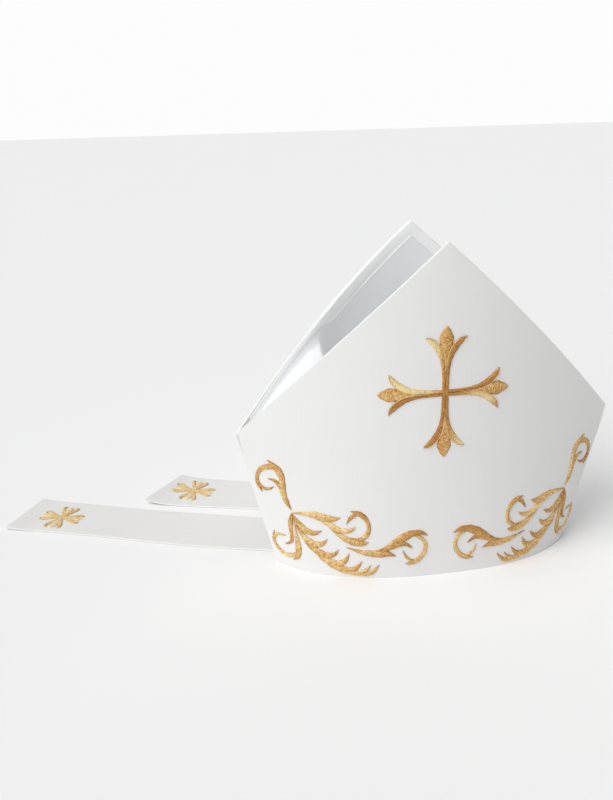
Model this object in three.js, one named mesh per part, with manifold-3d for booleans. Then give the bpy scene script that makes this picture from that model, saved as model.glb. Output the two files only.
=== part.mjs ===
import * as THREE from "three";
import { mergeVertices } from "three/addons/utils/BufferGeometryUtils.js";
import Module from "manifold-3d";

const wasm = await Module();
wasm.setup();

// All sizes are in millimetres. The front faces -Y, +Z is up and the mitre stands on Z = 0.
const PEAK_HEIGHT = 275;
const SHOULDER_HEIGHT = 119.4;
const BASE_HALF_WIDTH = 130;
const SHOULDER_HALF_WIDTH = 160.5;
const EDGE_CURVE = 1.02;
const WALL = 2.2;
const GAP = 0.3;
const SEAM_HALF_GAP = 0.15;
const SIDE_INSET_RATIO = 1.64;
const FACING_THICKNESS = 1.0;
const FACING_DROP = 12.2;
const FACING_TOP_DROP = 1.2;
const FACING_REACH = 0.94;
const LINING_THICKNESS = 1.0;
const LINING_REACH = 0.96;
const LAPPET_THICKNESS = 2.0;
const RIM_CLEARANCE = 0.8;
const STITCH_LIFT = 0.35;
const STITCH_RELIEF = 0.8;
const CROSS_CENTRE_HEIGHT = 159.6;
const STITCH_LAYER = 0.025;

// Plan curve of each panel: depth * (1 - |t|^power)^round at the base and at the shoulders,
// and how far the tip stands from the middle plane.
const PANELS = {
  front: { sign: -1, depth: [49, 48.7], power: [2.5, 2.02], round: [0.726, 1.063], tip: 44.6 },
  back: { sign: 1, depth: [49, 57.2], power: [2.5, 2.02], round: [0.726, 1.063], tip: 63.8 },
};

// Lining pocket between the two peaks. Columns: place along the edge t (0 middle, 1 shoulder),
// drop of its seam below the cut edge, sag below that seam, squareness of the pocket.
const LINING_ROWS = [
  [0.0, 14, 122, 5],
  [0.2, 14, 104, 5],
  [0.35, 14, 82, 5],
  [0.46, 14, 60, 4.5],
  [0.53, 12, 38, 3.6],
  [0.58, 7, 19, 2.8],
  [0.65, 3, 13, 2.3],
  [0.76, 2.5, 9, 2.1],
  [0.88, 2.5, 5, 2],
  [0.96, 2.5, 2.2, 2],
];

// Lappets lying on the table, from the free end to the rim of the back panel.
// Columns: near edge x, near edge y, far edge x, far edge y.
const LAPPETS = {
  lappet_left: [
    [-371.0, 102.0, -342.5, 156.5],
    [-357.0, 97.3, -328.5, 150.5],
    [-338.0, 91.5, -312.5, 144.5],
    [-292.0, 73.5, -268.5, 126.0],
    [-255.5, 58.5, -234.0, 112.0],
    [-216.0, 42.0, -195.5, 98.0],
    [-174.0, 27.2, -156.0, 84.0],
    [-138.0, 16.2, -108.0, 67.0],
  ],
  lappet_right: [
    [-243.5, 129.0, -205.5, 179.0],
    [-230.5, 124.8, -195.5, 176.8],
    [-214.0, 119.3, -184.0, 173.5],
    [-177.0, 108.0, -155.0, 163.5],
    [-136.5, 95.5, -113.0, 148.0],
    [-98.0, 83.0, -68.0, 133.5],
    [-64.0, 70.5, -22.0, 113.0],
    [-40.0, 60.5, 14.0, 86.0],
  ],
};
const TIP_CURL = { lappet_left: 1.5, lappet_right: 4.5 };
const TIP_CURL_LENGTH = 32;
// Where each lappet meets the rim: x of its near and far corners.
const LAPPET_SEAMS = { lappet_left: [-124, -62], lappet_right: [-24, 38] };
// Embroidered cross near each free end: x, y and turn in degrees.
const LAPPET_CROSSES = { lappet_left: [-320.8, 113.6, 155], lappet_right: [-194.8, 146.3, 155] };

// Satin-stitched petals of one arm of the cross, measured out along the arm.
// Columns: sideways, out along the arm, half width.
const CROSS_PETALS = {
  middle: [
    [0, 12, 0.6],
    [0, 21, 1.0],
    [0, 28, 2.0],
    [0, 33, 3.4],
    [0, 37, 4.8],
    [0, 41, 5.6],
    [0, 45, 4.8],
    [0, 49, 2.8],
    [0, 53, 0.2],
  ],
  side: [
    [1.3, 0, 1.25],
    [1.45, 10, 1.3],
    [1.7, 18, 1.4],
    [2.3, 24, 1.7],
    [3.6, 30, 2.1],
    [5.9, 35.2, 2.5],
    [9.2, 39.6, 2.3],
    [12.8, 42.4, 1.5],
    [16.4, 44.0, 0.2],
  ],
};

// One arm of the small cross near the end of a lappet, with the same columns.
const LAPPET_PETALS = {
  middle: [
    [0, 0, 1.6],
    [0, 9, 2.6],
    [0, 14, 3.1],
    [0, 17.5, 2.3],
    [0, 20.5, 0.3],
  ],
  side: [
    [0.9, 2, 1.4],
    [2.6, 8, 1.7],
    [4.9, 12.5, 1.9],
    [6.9, 16.2, 1.7],
    [6.4, 19.3, 1.2],
    [4.6, 19.6, 0.3],
  ],
};

// Satin-stitched leaves of one corner scroll, on the wearer's right; the other is its mirror.
// Columns: along the panel from its middle, height, half width.
const SCROLLS = {
  curl_upper: [
    [[-123.4, 56.8, 0.2], [-126.2, 61.5, 1.8], [-128.8, 67, 2.6], [-130.2, 72.5, 3.0], [-130.5, 78, 2.9],
      [-130.7, 84, 2.8], [-132.4, 89.5, 3.3], [-136, 94, 3.0], [-139.8, 97.4, 1.5], [-143, 100, 0.2]],
    [[-130.5, 71.5, 0.6], [-132, 76, 2.0], [-134.8, 79.8, 2.0], [-138.5, 82.2, 1.4], [-143, 82.8, 0.2]],
    [[-132.5, 91.5, 0.5], [-138, 93.9, 2.2], [-143.5, 93.6, 2.4], [-148.3, 91.4, 2.2], [-151.6, 87.2, 1.8],
      [-153.2, 82, 1.8], [-152.8, 77.2, 2.0], [-151, 73.2, 1.4], [-149, 69.5, 0.2]],
    [[-152.3, 79.5, 0.4], [-150.2, 75.5, 1.3], [-146.5, 73.1, 1.5], [-142.3, 73.6, 1.2], [-138, 76.3, 0.2]],
  ],
  scroll: [
    [[-123.5, 54, 0.4], [-117, 54.9, 1.2], [-110, 55.2, 2.2], [-103, 54.8, 3.4], [-97, 53.5, 3.6],
      [-91, 52.7, 3.0], [-86.5, 53.2, 1.8], [-82.3, 54.6, 0.2]],
    [[-103, 52, 0.5], [-97, 50.3, 1.6], [-92, 48, 2.4], [-87.5, 45.2, 2.9], [-83, 43.1, 2.4],
      [-78, 42.6, 2.3], [-73.5, 43.8, 1.6], [-69.8, 46.6, 0.2]],
    [[-92, 45.5, 0.4], [-87, 41.5, 1.2], [-82, 37.8, 2.2], [-77, 35, 2.9], [-72, 33, 3.2],
      [-67, 32, 2.8], [-63, 32, 1.9], [-59.5, 33, 0.2]],
    [[-74.5, 36.6, 0.3], [-69.5, 35.4, 1.2], [-65, 35.9, 1.9], [-61.6, 38.9, 2.1], [-59.6, 43, 1.9],
      [-59.4, 47.5, 1.7], [-60.9, 52.5, 1.9], [-64, 56.6, 2.3], [-68, 58.8, 2.2], [-71.5, 60, 1.2],
      [-74.3, 60.6, 0.2]],
    [[-66.5, 58.2, 0.5], [-70, 57.7, 1.6], [-73, 55.6, 1.7], [-75.3, 52.8, 1.2], [-77.3, 48.7, 0.2]],
    [[-122, 52, 0.4], [-119, 47.5, 1.9], [-115.5, 43.2, 2.8], [-111.5, 39.8, 3.1], [-107, 38.3, 2.6],
      [-102.5, 38.9, 1.7], [-97.8, 41.4, 0.2]],
    [[-120.5, 44, 0.5], [-117, 38, 1.6], [-113, 33.2, 2.6], [-108.5, 29.8, 3.2], [-103.5, 28, 3.0],
      [-98.8, 28.8, 2.4], [-95.5, 31.3, 1.3], [-93.4, 34.3, 0.2]],
    [[-114, 31.5, 0.5], [-108.5, 26.3, 2.4], [-103, 22.3, 3.0], [-97, 19.6, 3.2], [-91.5, 19, 2.6],
      [-87.3, 21, 1.6], [-83.8, 25.4, 0.2]],
    [[-104.5, 22.5, 0.5], [-98.5, 17, 2.4], [-92.5, 13.6, 3.1], [-86.5, 12, 3.3], [-81.3, 13.2, 2.8],
      [-77.6, 17, 1.7], [-75.3, 22.2, 0.2]],
    [[-97, 15, 0.5], [-91, 10.7, 2.0], [-84.5, 8.3, 2.6], [-78, 7.4, 2.6], [-72.5, 7.6, 2.3],
      [-68, 10.6, 1.5], [-64.6, 15.7, 0.2]],
    [[-88, 8, 0.4], [-80.5, 5.4, 1.6], [-73, 4.6, 1.9], [-66.5, 4.9, 2.0], [-61.5, 7.2, 1.6],
      [-57.4, 12, 0.2]],
    [[-79, 4.6, 0.3], [-71.5, 3.8, 1.2], [-64.5, 3.5, 1.5], [-59, 4.3, 1.9], [-54.8, 7, 1.7],
      [-50.6, 12.7, 0.2]],
    [[-122.8, 54.3, 0.6], [-124, 49.5, 1.9], [-125, 44, 2.2], [-125, 38, 1.8], [-124.4, 32, 1.6],
      [-124.8, 27.5, 1.6], [-127.4, 24.8, 1.1], [-131.2, 23.3, 0.2]],
    [[-121.8, 50, 0.5], [-120.9, 40, 0.9], [-119.9, 32, 1.9], [-118.9, 25, 2.8], [-118.8, 18, 2.8],
      [-120, 12.8, 2.1], [-124.3, 8.6, 0.2]],
    [[-119.5, 17.5, 0.5], [-124.5, 13.6, 2.0], [-130.5, 12.2, 2.1], [-136, 14.2, 2.0], [-140.6, 18.4, 1.9],
      [-142.7, 23.5, 1.9], [-142.5, 28.5, 1.4], [-141.2, 34, 0.2]],
    [[-141.8, 25.5, 0.4], [-140, 29.3, 1.4], [-137, 31.3, 1.3], [-133.5, 31.8, 1.0], [-129.7, 31.5, 0.2]],
  ],
  curl_inner: [
    [[-77.6, 27.8, 0.2], [-70, 25.4, 1.2], [-63, 23.5, 2.3], [-56, 22.7, 3.0], [-50, 22.6, 3.4],
      [-45, 22.6, 2.9], [-41, 21.6, 1.7], [-36.8, 20.2, 0.2]],
    [[-55, 24.5, 0.6], [-49, 25.6, 1.6], [-43.5, 27.8, 2.6], [-38.5, 31.2, 3.4], [-33.5, 35, 3.8],
      [-28, 38.4, 3.6], [-22.5, 40.2, 2.9], [-16.5, 40.3, 2.1], [-10.8, 37.4, 0.2]],
    [[-47, 25, 0.5], [-41.5, 27.6, 1.6], [-36, 30.2, 2.2], [-31, 31, 1.9], [-27, 29.6, 1.4],
      [-23.4, 26.7, 0.2]],
    [[-26, 38.5, 0.4], [-20.5, 38, 1.4], [-16.3, 35.3, 1.6], [-13.3, 31.5, 1.7], [-12.5, 27, 1.8],
      [-13.8, 22, 1.9], [-16.8, 17.5, 2.1], [-20.8, 14.3, 2.2], [-25, 13, 1.5], [-29.3, 12.5, 0.2]],
    [[-20.5, 15, 0.5], [-24.5, 15.6, 1.4], [-28, 18.3, 1.3], [-30, 21.6, 0.9], [-31.2, 25.2, 0.2]],
  ],
};

const lerp = THREE.MathUtils.lerp;

const COLOURS = {
  cloth: { color: new THREE.Color(0.9, 0.9, 0.88), roughness: 0.75, metalness: 0 },
  lining: { color: new THREE.Color(0.78, 0.79, 0.81), roughness: 0.45, metalness: 0 },
  gold: { color: new THREE.Color(0.72, 0.44, 0.12), roughness: 0.42, metalness: 0.15 },
};

const object = new THREE.Group();
object.name = "bishop_mitre";

function addPiece(name, geometry, colour) {
  const mesh = new THREE.Mesh(geometry, new THREE.MeshStandardMaterial(COLOURS[colour]));
  mesh.name = name;
  object.add(mesh);
}

// Closed geometry from a list of triangles, dropping those with no area and facing it outward.
function closedGeometry(triangles) {
  const kept = triangles.filter(([a, b, c]) => {
    const cross = new THREE.Vector3().crossVectors(b.clone().sub(a), c.clone().sub(a));
    return cross.length() > 1e-6;
  });
  const volume = kept.reduce((sum, [a, b, c]) => sum + a.dot(b.clone().cross(c)), 0);
  const points = kept.flatMap(([a, b, c]) => (volume > 0 ? [a, b, c] : [a, c, b]));
  const raw = new THREE.BufferGeometry().setFromPoints(points);
  return mergeVertices(raw, 1e-3);
}

// Solid between two matching grids of points, closed along all four borders.
function sheetSolid(outer, inner) {
  const triangles = [];
  const quad = (a, b, c, d) => {
    triangles.push([a, b, c]);
    triangles.push([a, c, d]);
  };
  const columns = outer.length - 1;
  const rows = outer[0].length - 1;
  for (let i = 0; i < columns; i += 1) {
    for (let j = 0; j < rows; j += 1) {
      quad(outer[i][j], outer[i + 1][j], outer[i + 1][j + 1], outer[i][j + 1]);
      quad(inner[i][j], inner[i][j + 1], inner[i + 1][j + 1], inner[i + 1][j]);
    }
    quad(outer[i][0], inner[i][0], inner[i + 1][0], outer[i + 1][0]);
    quad(outer[i][rows], outer[i + 1][rows], inner[i + 1][rows], inner[i][rows]);
  }
  for (let j = 0; j < rows; j += 1) {
    quad(outer[0][j], outer[0][j + 1], inner[0][j + 1], inner[0][j]);
    quad(outer[columns][j], inner[columns][j], inner[columns][j + 1], outer[columns][j + 1]);
  }
  return closedGeometry(triangles);
}

function grid(columnValues, rowCount, point) {
  return columnValues.map((t) => {
    const column = [];
    for (let j = 0; j <= rowCount; j += 1) {
      column.push(point(t, j));
    }
    return column;
  });
}

// Places across the panel from -reach to reach, closer together towards the side seams.
function acrossValues(count, reach) {
  const values = [];
  for (let i = 0; i <= count; i += 1) {
    values.push(Math.sin(((i / count) * 2 - 1) * (Math.PI / 2) * 0.98) / Math.sin((Math.PI / 2) * 0.98) * reach);
  }
  return values;
}

function section(t, depth, power, round) {
  return depth * Math.max(0, 1 - Math.abs(t) ** power) ** round;
}

// Point of a panel at t across (-1 to 1) and height z, set in from its outer face.
function wallPoint(side, t, z, inset = 0) {
  const panel = PANELS[side];
  const rise = z / SHOULDER_HEIGHT;
  const sideInset = inset * SIDE_INSET_RATIO;
  const halfWidth = lerp(BASE_HALF_WIDTH, SHOULDER_HALF_WIDTH, Math.min(rise, 1)) - sideInset;
  const low = section(t, panel.depth[0] - inset, panel.power[0], panel.round[0]);
  const high = section(t, panel.depth[1] - inset, panel.power[1], panel.round[1]);
  const lean = (Math.max(0, z - SHOULDER_HEIGHT) / (PEAK_HEIGHT - SHOULDER_HEIGHT)) * (panel.tip - panel.depth[1]);
  const depth = rise <= 1 ? lerp(low, high, rise) : high + lean;
  return new THREE.Vector3(t * halfWidth, panel.sign * (SEAM_HALF_GAP + depth), z);
}

// Share of the way from the middle to the side seam, measured along the shoulder line.
function arcShare(side, t) {
  const steps = 60;
  let length = 0;
  let reached = 0;
  let last = wallPoint(side, 0, SHOULDER_HEIGHT);
  for (let i = 1; i <= steps; i += 1) {
    const next = wallPoint(side, i / steps, SHOULDER_HEIGHT);
    const piece = next.distanceTo(last);
    reached += piece * THREE.MathUtils.clamp(Math.abs(t) * steps - (i - 1), 0, 1);
    length += piece;
    last = next;
  }
  return reached / length;
}

// Height of the slanted edge that runs from the shoulder up to the tip.
function edgeHeight(side, t) {
  const share = arcShare(side, t);
  return PEAK_HEIGHT - (PEAK_HEIGHT - SHOULDER_HEIGHT) * share ** EDGE_CURVE;
}

function makePanel(side) {
  const lowRows = 4;
  const highRows = 6;
  const across = acrossValues(30, 1);
  const height = (t, j) => {
    if (j <= lowRows) {
      return (SHOULDER_HEIGHT * j) / lowRows;
    }
    return lerp(SHOULDER_HEIGHT, edgeHeight(side, t), (j - lowRows) / highRows);
  };
  const outer = grid(across, lowRows + highRows, (t, j) => wallPoint(side, t, height(t, j)));
  const inner = grid(across, lowRows + highRows, (t, j) => wallPoint(side, t, height(t, j), WALL));
  return sheetSolid(outer, inner);
}

function makeFacing(side) {
  const across = acrossValues(26, FACING_REACH);
  const height = (t, j) => edgeHeight(side, t) - (j === 0 ? FACING_DROP : FACING_TOP_DROP);
  const face = (inset) => grid(across, 1, (t, j) => wallPoint(side, t, height(t, j), inset));
  return sheetSolid(face(WALL + GAP), face(WALL + GAP + FACING_THICKNESS));
}

function tableValue(rows, place, column) {
  const next = rows.findIndex((row) => row[0] >= place);
  if (next <= 0) {
    return rows[Math.max(next, 0)][column];
  }
  const [a, b] = [rows[next - 1], rows[next]];
  return lerp(a[column], b[column], (place - a[0]) / (b[0] - a[0]));
}

// The lining hangs as a pocket between the two slanted edges.
function makeLining() {
  const hangSteps = 12;
  const across = acrossValues(30, LINING_REACH);
  const clear = WALL + GAP + FACING_THICKNESS + GAP;
  const power = (value, exponent) => Math.sign(value) * Math.abs(value) ** exponent;
  const point = (t, j, level) => {
    const place = Math.min(Math.abs(t), LINING_REACH - 1e-6);
    const angle = (Math.PI * j) / hangSteps;
    const exponent = 2 / tableValue(LINING_ROWS, place, 3);
    const share = 0.5 - 0.5 * power(Math.cos(angle), exponent);
    const sag = (tableValue(LINING_ROWS, place, 2) - level * LINING_THICKNESS) * power(Math.sin(angle), exponent);
    const seam = lerp(edgeHeight("front", t), edgeHeight("back", t), share);
    const z = seam - tableValue(LINING_ROWS, place, 1) - sag;
    const inset = clear + level * LINING_THICKNESS;
    return wallPoint("front", t, z, inset).lerp(wallPoint("back", t, z, inset), share);
  };
  const outer = grid(across, hangSteps, (t, j) => point(t, j, 0));
  const inner = grid(across, hangSteps, (t, j) => point(t, j, 1));
  return sheetSolid(outer, inner);
}

// Outer face of the back rim at x, with the sewing clearance.
function rimPoint(x) {
  const point = wallPoint("back", x / (BASE_HALF_WIDTH + LAPPET_THICKNESS / 4), LAPPET_THICKNESS);
  return [x, point.y + RIM_CLEARANCE];
}

// Height the free end of a lappet has curled up off the table at x, y.
function tipLift(name, x, y) {
  const [nearX, nearY, farX, farY] = LAPPETS[name][0];
  const width = Math.hypot(farX - nearX, farY - nearY);
  const distance = ((x - nearX) * (farY - nearY) - (y - nearY) * (farX - nearX)) / width;
  return TIP_CURL[name] * Math.max(0, 1 - distance / TIP_CURL_LENGTH) ** 2;
}

function makeLappet(name) {
  const rows = LAPPETS[name];
  const across = 6;
  const near = new THREE.CatmullRomCurve3(rows.map((r) => new THREE.Vector3(r[0], r[1], 0)));
  const far = new THREE.CatmullRomCurve3(rows.map((r) => new THREE.Vector3(r[2], r[3], 0)));
  const steps = rows.length * 3;
  const columns = [];
  for (let i = 0; i <= steps; i += 1) {
    const a = near.getPoint(i / steps);
    const b = far.getPoint(i / steps);
    columns.push([...Array(across + 1).keys()].map((j) => a.clone().lerp(b, j / across)));
  }
  const [seamNear, seamFar] = LAPPET_SEAMS[name];
  const last = columns[columns.length - 1];
  const seam = last.map((_, j) => new THREE.Vector3(...rimPoint(lerp(seamNear, seamFar, j / across)), 0));
  columns.push(last.map((p, j) => p.clone().lerp(seam[j], 0.5)));
  columns.push(seam);
  const level = (height) => columns.map((column) => column.map((p) => (
    p.clone().setZ(tipLift(name, p.x, p.y) + height))));
  return sheetSolid(level(LAPPET_THICKNESS), level(0));
}

// Outward offset point of the front panel at arc distance u from its middle line and height z.
function frontPoint(u, z, lift) {
  const steps = 80;
  let length = 0;
  let last = wallPoint("front", 0, z);
  let t = 1;
  for (let i = 1; i <= steps; i += 1) {
    const next = wallPoint("front", Math.sin(((i / steps) * Math.PI) / 2), z);
    const piece = next.distanceTo(last);
    if (length + piece >= Math.abs(u)) {
      const share = (Math.abs(u) - length) / piece;
      t = lerp(Math.sin((((i - 1) / steps) * Math.PI) / 2), Math.sin(((i / steps) * Math.PI) / 2), share);
      break;
    }
    length += piece;
    last = next;
  }
  t *= Math.sign(u) || 1;
  const step = 1e-3;
  const point = wallPoint("front", t, z);
  const alongT = wallPoint("front", t + step, z).sub(wallPoint("front", t - step, z));
  const alongZ = wallPoint("front", t, z + 1).sub(wallPoint("front", t, z - 1));
  const normal = alongT.cross(alongZ).normalize();
  return point.addScaledVector(normal, lift);
}

// One satin-stitched leaf: a ridge along its middle line, pointed at both ends, on its own layer.
function leafGeometry(rows, place, spacing, layer) {
  const lift = STITCH_LIFT + layer * STITCH_LAYER;
  const curve = new THREE.CatmullRomCurve3(rows.map((r) => new THREE.Vector3(...r)));
  const steps = Math.max(3, Math.round(curve.getLength() / spacing));
  const stations = [];
  for (let i = 0; i <= steps; i += 1) {
    const p = curve.getPointAt(i / steps);
    const tangent = curve.getTangentAt(i / steps).setZ(0).normalize();
    const half = Math.max(p.z, 0.15);
    const relief = STITCH_RELIEF * Math.min(1, 0.35 + half / 2);
    stations.push([
      place(p.x - tangent.y * half, p.y + tangent.x * half, lift),
      place(p.x, p.y, lift + relief),
      place(p.x + tangent.y * half, p.y - tangent.x * half, lift),
    ]);
  }
  const triangles = [];
  for (let i = 0; i < steps; i += 1) {
    for (let j = 0; j < 3; j += 1) {
      const k = (j + 1) % 3;
      triangles.push([stations[i][j], stations[i + 1][j], stations[i + 1][k]]);
      triangles.push([stations[i][j], stations[i + 1][k], stations[i][k]]);
    }
  }
  triangles.push([stations[0][0], stations[0][1], stations[0][2]]);
  triangles.push([stations[steps][0], stations[steps][2], stations[steps][1]]);
  return closedGeometry(triangles);
}

function toManifold(geometry) {
  const vertProperties = new Float32Array(geometry.attributes.position.array);
  const triVerts = new Uint32Array(geometry.index.array);
  return new wasm.Manifold(new wasm.Mesh({ numProp: 3, vertProperties, triVerts }));
}

function unionGeometry(leaves) {
  const solid = wasm.Manifold.union(leaves.map(toManifold));
  const mesh = solid.getMesh();
  const geometry = new THREE.BufferGeometry();
  geometry.setAttribute("position", new THREE.BufferAttribute(new Float32Array(mesh.vertProperties), 3));
  geometry.setIndex([...mesh.triVerts]);
  return geometry;
}

// The four arms of a cross fleury, each of one middle and two side petals.
function crossLeaves(petals, place, spacing) {
  const leaves = [];
  for (let quarter = 0; quarter < 4; quarter += 1) {
    const [c, s] = [[1, 0], [0, 1], [-1, 0], [0, -1]][quarter];
    const turn = (side) => (row) => {
      const [x, y] = [row[0] * side, row[1]];
      return [x * c - y * s, x * s + y * c, row[2]];
    };
    leaves.push(leafGeometry(petals.middle.map(turn(1)), place, spacing, 2.2));
    leaves.push(leafGeometry(petals.side.map(turn(1)), place, spacing, quarter));
    leaves.push(leafGeometry(petals.side.map(turn(-1)), place, spacing, quarter + 0.5));
  }
  return leaves;
}

addPiece("front_panel", makePanel("front"), "cloth");
addPiece("back_panel", makePanel("back"), "cloth");
addPiece("front_facing", makeFacing("front"), "cloth");
addPiece("back_facing", makeFacing("back"), "cloth");
addPiece("lining", makeLining(), "lining");

const onFront = (u, v, lift) => frontPoint(u, CROSS_CENTRE_HEIGHT + v, lift);
const frontCross = crossLeaves(CROSS_PETALS, onFront, 7);
addPiece("front_cross", unionGeometry(frontCross), "gold");

for (const [wearerSide, sign] of [["right", 1], ["left", -1]]) {
  for (const [name, tables] of Object.entries(SCROLLS)) {
    const leaves = tables.map((rows, layer) => {
      const mirrored = rows.map(([u, z, half]) => [u * sign, z, half]);
      return leafGeometry(mirrored, frontPoint, 5.5, layer % 4);
    });
    addPiece(`${name}_${wearerSide}`, unionGeometry(leaves), "gold");
  }
}

for (const name of Object.keys(LAPPETS)) {
  addPiece(name, makeLappet(name), "cloth");
  const [x, y, turn] = LAPPET_CROSSES[name];
  const angle = THREE.MathUtils.degToRad(turn);
  const place = (u, v, lift) => {
    const px = x + u * Math.cos(angle) - v * Math.sin(angle);
    const py = y + u * Math.sin(angle) + v * Math.cos(angle);
    return new THREE.Vector3(px, py, tipLift(name, px, py) + LAPPET_THICKNESS + lift);
  };
  addPiece(`${name}_cross`, unionGeometry(crossLeaves(LAPPET_PETALS, place, 5)), "gold");
}

export default object;
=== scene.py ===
import math

import bmesh
import bpy
import numpy as np
from bpy.props import (FloatProperty, FloatVectorProperty, IntProperty,
                       PointerProperty)
from mathutils import Matrix, Vector


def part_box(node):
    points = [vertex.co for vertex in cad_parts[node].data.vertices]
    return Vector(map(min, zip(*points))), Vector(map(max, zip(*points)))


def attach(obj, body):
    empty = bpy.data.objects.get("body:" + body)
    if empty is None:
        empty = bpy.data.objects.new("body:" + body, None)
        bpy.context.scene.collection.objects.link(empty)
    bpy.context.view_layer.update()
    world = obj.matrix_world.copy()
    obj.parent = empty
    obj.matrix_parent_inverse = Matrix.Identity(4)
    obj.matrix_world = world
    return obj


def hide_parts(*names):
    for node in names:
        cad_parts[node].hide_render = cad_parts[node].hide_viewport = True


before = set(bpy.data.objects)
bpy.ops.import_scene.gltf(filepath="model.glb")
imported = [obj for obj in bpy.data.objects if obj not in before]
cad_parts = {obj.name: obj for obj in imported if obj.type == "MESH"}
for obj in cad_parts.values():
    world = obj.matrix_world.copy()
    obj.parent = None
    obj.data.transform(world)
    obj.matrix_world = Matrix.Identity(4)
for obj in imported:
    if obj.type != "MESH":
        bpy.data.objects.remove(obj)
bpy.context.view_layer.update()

bl_info = {
    "name": "Bishop Mitre",
    "version": (1, 0, 0),
    "blender": (4, 5, 0),
    "location": "3D View > Sidebar > Mitre",
    "description": "Builds an embroidered cloth mitre with its lining and lappets",
    "category": "Add Mesh",
}

MM = 0.001

# ---------------------------------------------------------------- shape of the two panels
PEAK_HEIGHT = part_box("front_panel")[1][2] / MM
SHOULDER_HEIGHT = 119.4
BASE_HALF_WIDTH = 130.0
SHOULDER_HALF_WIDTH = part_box("front_panel")[1][0] / MM
EDGE_CURVE = 1.02
WALL = 2.2
SIDE_INSET_RATIO = 1.64
SEAM_HALF_GAP = 0.15
# How far the facing and the lining reach toward the shoulders, as a share of the edge.
FACING_REACH = 0.94
LINING_REACH = 0.99
# How the panel's columns crowd toward its sides, how its rows crowd below the shoulders, and
# the length of the curved cloth over its width, which keeps the weave even.
SIDE_CROWDING = 0.97
LOWER_ROWS = 1.15
CLOTH_STRETCH = {"front": 1.06, "back": 1.07}

# Plan curve at the rim and at the shoulders: depth * (1 - |t|^power)^round, and the
# place of the tip, for the front (-Y) and the back (+Y).
PANELS = {
    "front": {"sign": -1, "depth": (49, 48.7), "power": (2.5, 2.02), "round": (0.726, 1.063), "tip": 44.6},
    "back": {"sign": 1, "depth": (49, 57.2), "power": (2.5, 2.02), "round": (0.726, 1.063), "tip": 63.8},
}

# Lining pocket. Columns: place along the edge (0 middle, 1 shoulder), drop of its seam below
# the cut edge, sag below the seam, squareness of the pocket.
LINING_ROWS = np.array([
    (0.0, 11.8, 122, 5),
    (0.2, 11.8, 104, 5),
    (0.32, 11.8, 80, 5),
    (0.38, 11.8, 58, 4.6),
    (0.43, 11.6, 45, 4.2),
    (0.47, 10.2, 36, 3.6),
    (0.505, 6, 26, 3),
    (0.54, 2.4, 20, 2.5),
    (0.6, 0.9, 16, 2.3),
    (0.7, 0.6, 12, 2.2),
    (0.8, 0.6, 7, 2.1),
    (0.96, 0.6, 2, 2),
])

# How far out from the peak the lining's ridge is rounded, as a share of the edge.
RIDGE_ROUNDING = 0.12

# Lappets on the table, from the free end to the rim.
# Columns: near edge x, near edge y, far edge x, far edge y.
LAPPETS = {
    "lappet_left": [
        (-371.0, 102.0, -342.5, 156.5),
        (-357.0, 97.3, -328.5, 150.5),
        (-338.0, 91.5, -312.5, 144.5),
        (-292.0, 73.5, -268.5, 126.0),
        (-255.5, 58.5, -234.0, 112.0),
        (-216.0, 42.0, -195.5, 98.0),
        (-174.0, 27.2, -156.0, 84.0),
        (-138.0, 16.2, -108.0, 67.0),
    ],
    "lappet_right": [
        (-243.5, 129.0, -205.5, 179.0),
        (-230.5, 124.8, -195.5, 176.8),
        (-214.0, 119.3, -184.0, 173.5),
        (-177.0, 108.0, -155.0, 163.5),
        (-136.5, 95.5, -113.0, 148.0),
        (-98.0, 83.0, -68.0, 133.5),
        (-64.0, 70.5, -22.0, 113.0),
        (-40.0, 60.5, 14.0, 86.0),
    ],
}
# Where each lappet's seam starts and ends along the rim, and where its cross lies and how it is
# turned in degrees.
LAPPET_SEAMS = {"lappet_left": (-124, -62), "lappet_right": (-24, 38)}
LAPPET_CROSSES = {"lappet_left": (-320.8, 113.6, 155), "lappet_right": (-194.8, 146.3, 155)}
LAPPET_THICKNESS = 2.0
# Share of a lappet's length before it bends in to its seam.
LAPPET_BODY = 0.94
TIP_CURL = {"lappet_left": 1.5, "lappet_right": 4.5}
TIP_CURL_LENGTH = 32.0
RIM_CLEARANCE = 0.8

# ---------------------------------------------------------------- embroidery charts
CROSS_CENTRE_HEIGHT = 159.6
# Stitching: how far it starts off its cloth, the steps at which a leaf's curve is read, its
# least half width, the distance over which its heading is read, how much painted shade darkens
# its edges and how much painted light makes one side lighter than its middle.
STITCH_GAP = 0.05
CURVE_STEPS = 200
LEAST_HALF_WIDTH = 0.12
HEADING_REACH = 0.4
EDGE_PAINTED_SHADE = 0.2
SIDE_PAINTED_LIGHT = 0.08
# One arm. Columns: sideways, out along the arm, half width.
CROSS_MIDDLE = [(0, 12, 0.3), (0, 22, 0.9), (0, 28, 1.9), (0, 33, 3.5), (0, 37, 4.9), (0, 41, 5.6),
                (0, 45, 5.3), (0, 48.6, 3.9), (0, 51.2, 2.2), (0, 53.2, 0.2)]
CROSS_SIDE = [(1.2, -1.2, 1.35), (1.35, 10, 1.45), (1.7, 18, 1.5), (2.3, 24, 1.9), (3.7, 30, 2.4),
              (6.1, 35.0, 2.75), (9.4, 39.3, 2.6), (12.9, 42.3, 1.8), (16.6, 44.2, 0.2)]
# Tones of the petals of each arm (top, left, bottom, right), from the middle of the cross to
# the tip: middle petal, the side petal before it clockwise, the side petal after it. The tones
# are painted sheen: each petal is painted lighter or darker by how its stitches lie to the light.
CROSS_SHEEN_TONES = [
    ((0.5, 0.5), (0.25, 0.3, 0.42, 0.8, 0.95), (0.25, 0.22, 0.2, 0.2, 0.35)),
    ((0.55, 0.55), (0.2, 0.2, 0.15, 0.12, 0.3), (0.3, 0.7, 1.0, 1.0, 0.7)),
    ((0.5, 0.5), (0.25, 0.22, 0.3, 0.6, 1.0), (0.25, 0.22, 0.2, 0.2, 0.3)),
    ((0.5, 0.5), (0.2, 0.15, 0.15, 0.2, 0.3), (0.25, 0.3, 0.8, 1.05, 0.15)),
]
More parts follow.
